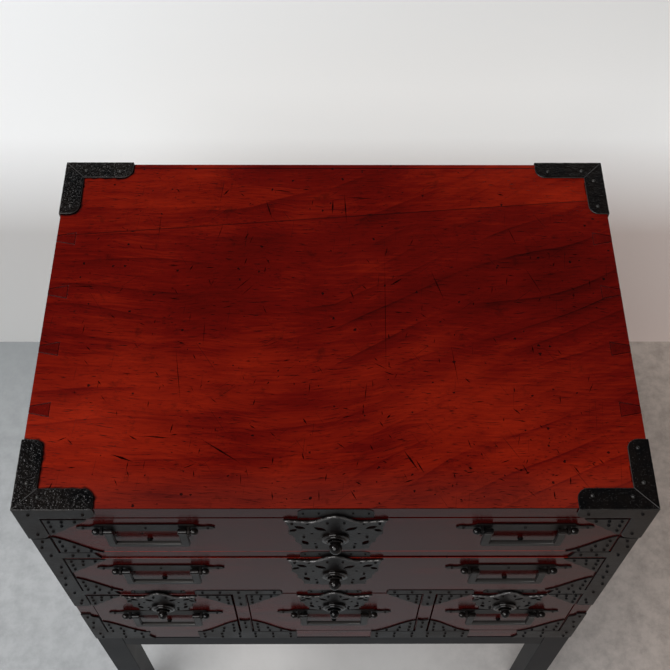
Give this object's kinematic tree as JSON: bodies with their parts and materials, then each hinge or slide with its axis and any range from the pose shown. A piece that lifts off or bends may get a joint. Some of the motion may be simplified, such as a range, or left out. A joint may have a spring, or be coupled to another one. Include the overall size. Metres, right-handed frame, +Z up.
{
  "type": "tansu sea chest",
  "caption": "Lacquered wooden chest of drawers with dovetailed corners, pierced iron lock plates, push-button bolts and drop handles, on a square-tube steel stand.",
  "frame": {"origin": "centre of the bounding box on the floor, under the stand's feet", "axes": "+Z up; -Y is the drawer front, +Y the back; +X to the right when facing the drawers"},
  "size_m": [0.6036, 0.4368, 0.7771],
  "materials": {
    "lacquered_keyaki": "polished red lacquer",
    "paulownia": "bare planed wood",
    "black_iron": "blackened wrought iron",
    "black_paint": "satin black paint"
  },
  "bodies": {
    "chest": {"top_board": "lacquered_keyaki", "bottom_board": "lacquered_keyaki", "left_side": "lacquered_keyaki", "right_side": "lacquered_keyaki", "upper_shelf": "lacquered_keyaki", "lower_shelf": "lacquered_keyaki", "left_divider": "lacquered_keyaki", "right_divider": "lacquered_keyaki", "back_board": "paulownia", "front_left_leg": "black_paint", "front_right_leg": "black_paint", "back_left_leg": "black_paint", "back_right_leg": "black_paint", "front_rail": "black_paint", "back_rail": "black_paint", "left_rail": "black_paint", "right_rail": "black_paint", "front_left_strap": "black_iron", "front_right_strap": "black_iron", "back_left_strap": "black_iron", "back_right_strap": "black_iron"},
    "upper_drawer": {"upper_drawer_front": "lacquered_keyaki", "upper_drawer_tray": "paulownia", "upper_lock_plate": "black_iron", "upper_left_handle_plate": "black_iron", "upper_right_handle_plate": "black_iron"},
    "upper_plunger": {"upper_lock_plunger": "black_iron"},
    "upper_bolt": {"upper_lock_bolt": "black_iron"},
    "upper_left_bail": {"upper_left_bail": "black_iron"},
    "upper_right_bail": {"upper_right_bail": "black_iron"},
    "middle_drawer": {"middle_drawer_front": "lacquered_keyaki", "middle_drawer_tray": "paulownia", "middle_lock_plate": "black_iron", "middle_left_handle_plate": "black_iron", "middle_right_handle_plate": "black_iron"},
    "middle_plunger": {"middle_lock_plunger": "black_iron"},
    "middle_bolt": {"middle_lock_bolt": "black_iron"},
    "middle_left_bail": {"middle_left_bail": "black_iron"},
    "middle_right_bail": {"middle_right_bail": "black_iron"},
    "lower_left_drawer": {"lower_left_drawer_front": "lacquered_keyaki", "lower_left_drawer_tray": "paulownia", "lower_left_lock_plate": "black_iron", "lower_left_handle_plate": "black_iron"},
    "lower_left_plunger": {"lower_left_lock_plunger": "black_iron"},
    "lower_left_bolt": {"lower_left_lock_bolt": "black_iron"},
    "lower_left_bail": {"lower_left_bail": "black_iron"},
    "lower_centre_drawer": {"lower_centre_drawer_front": "lacquered_keyaki", "lower_centre_drawer_tray": "paulownia", "lower_centre_lock_plate": "black_iron", "lower_centre_handle_plate": "black_iron"},
    "lower_centre_plunger": {"lower_centre_lock_plunger": "black_iron"},
    "lower_centre_bolt": {"lower_centre_lock_bolt": "black_iron"},
    "lower_centre_bail": {"lower_centre_bail": "black_iron"},
    "lower_right_drawer": {"lower_right_drawer_front": "lacquered_keyaki", "lower_right_drawer_tray": "paulownia", "lower_right_lock_plate": "black_iron", "lower_right_handle_plate": "black_iron"},
    "lower_right_plunger": {"lower_right_lock_plunger": "black_iron"},
    "lower_right_bolt": {"lower_right_lock_bolt": "black_iron"},
    "lower_right_bail": {"lower_right_bail": "black_iron"}
  },
  "joints": [
    {"name": "upper_drawer_slide", "type": "slide", "parent": "chest", "child": "upper_drawer", "axis": [0, -1, 0], "range_m": [0, 0.3]},
    {"name": "upper_lock_push", "type": "slide", "parent": "upper_drawer", "child": "upper_plunger", "axis": [0, 1, 0], "range_m": [0, 0.0045]},
    {"name": "upper_bolt_lift", "type": "slide", "parent": "upper_drawer", "child": "upper_bolt", "axis": [0, 0, 1], "range_m": [0, 0.0072]},
    {"name": "upper_left_bail_swing", "type": "hinge", "parent": "upper_drawer", "child": "upper_left_bail", "pos_m": [-0.183, -0.20409, 0.7321], "axis": [-1, 0, 0], "range_deg": [0, 120]},
    {"name": "upper_right_bail_swing", "type": "hinge", "parent": "upper_drawer", "child": "upper_right_bail", "pos_m": [0.183, -0.20409, 0.7321], "axis": [-1, 0, 0], "range_deg": [0, 120]},
    {"name": "middle_drawer_slide", "type": "slide", "parent": "chest", "child": "middle_drawer", "axis": [0, -1, 0], "range_m": [0, 0.3]},
    {"name": "middle_lock_push", "type": "slide", "parent": "middle_drawer", "child": "middle_plunger", "axis": [0, 1, 0], "range_m": [0, 0.0045]},
    {"name": "middle_bolt_lift", "type": "slide", "parent": "middle_drawer", "child": "middle_bolt", "axis": [0, 0, 1], "range_m": [0, 0.0072]},
    {"name": "middle_left_bail_swing", "type": "hinge", "parent": "middle_drawer", "child": "middle_left_bail", "pos_m": [-0.183, -0.2048, 0.6191], "axis": [-1, 0, 0], "range_deg": [0, 120]},
    {"name": "middle_right_bail_swing", "type": "hinge", "parent": "middle_drawer", "child": "middle_right_bail", "pos_m": [0.183, -0.2048, 0.6191], "axis": [-1, 0, 0], "range_deg": [0, 120]},
    {"name": "lower_left_drawer_slide", "type": "slide", "parent": "chest", "child": "lower_left_drawer", "axis": [0, -1, 0], "range_m": [0, 0.3]},
    {"name": "lower_left_lock_push", "type": "slide", "parent": "lower_left_drawer", "child": "lower_left_plunger", "axis": [0, 1, 0], "range_m": [0, 0.0045]},
    {"name": "lower_left_bolt_lift", "type": "slide", "parent": "lower_left_drawer", "child": "lower_left_bolt", "axis": [0, 0, 1], "range_m": [0, 0.0072]},
    {"name": "lower_left_bail_swing", "type": "hinge", "parent": "lower_left_drawer", "child": "lower_left_bail", "pos_m": [-0.1975, -0.2048, 0.4626], "axis": [-1, 0, 0], "range_deg": [0, 120]},
    {"name": "lower_centre_drawer_slide", "type": "slide", "parent": "chest", "child": "lower_centre_drawer", "axis": [0, -1, 0], "range_m": [0, 0.3]},
    {"name": "lower_centre_lock_push", "type": "slide", "parent": "lower_centre_drawer", "child": "lower_centre_plunger", "axis": [0, 1, 0], "range_m": [0, 0.0045]},
    {"name": "lower_centre_bolt_lift", "type": "slide", "parent": "lower_centre_drawer", "child": "lower_centre_bolt", "axis": [0, 0, 1], "range_m": [0, 0.0072]},
    {"name": "lower_centre_bail_swing", "type": "hinge", "parent": "lower_centre_drawer", "child": "lower_centre_bail", "pos_m": [0, -0.20409, 0.4626], "axis": [-1, 0, 0], "range_deg": [0, 120]},
    {"name": "lower_right_drawer_slide", "type": "slide", "parent": "chest", "child": "lower_right_drawer", "axis": [0, -1, 0], "range_m": [0, 0.3]},
    {"name": "lower_right_lock_push", "type": "slide", "parent": "lower_right_drawer", "child": "lower_right_plunger", "axis": [0, 1, 0], "range_m": [0, 0.0045]},
    {"name": "lower_right_bolt_lift", "type": "slide", "parent": "lower_right_drawer", "child": "lower_right_bolt", "axis": [0, 0, 1], "range_m": [0, 0.0072]},
    {"name": "lower_right_bail_swing", "type": "hinge", "parent": "lower_right_drawer", "child": "lower_right_bail", "pos_m": [0.1975, -0.20409, 0.4626], "axis": [-1, 0, 0], "range_deg": [0, 120]}
  ],
  "couplings": [
    {"joint": "upper_bolt_lift", "follows": "upper_lock_push", "ratio": 1.6},
    {"joint": "middle_bolt_lift", "follows": "middle_lock_push", "ratio": 1.6},
    {"joint": "lower_left_bolt_lift", "follows": "lower_left_lock_push", "ratio": 1.6},
    {"joint": "lower_centre_bolt_lift", "follows": "lower_centre_lock_push", "ratio": 1.6},
    {"joint": "lower_right_bolt_lift", "follows": "lower_right_lock_push", "ratio": 1.6}
  ]
}
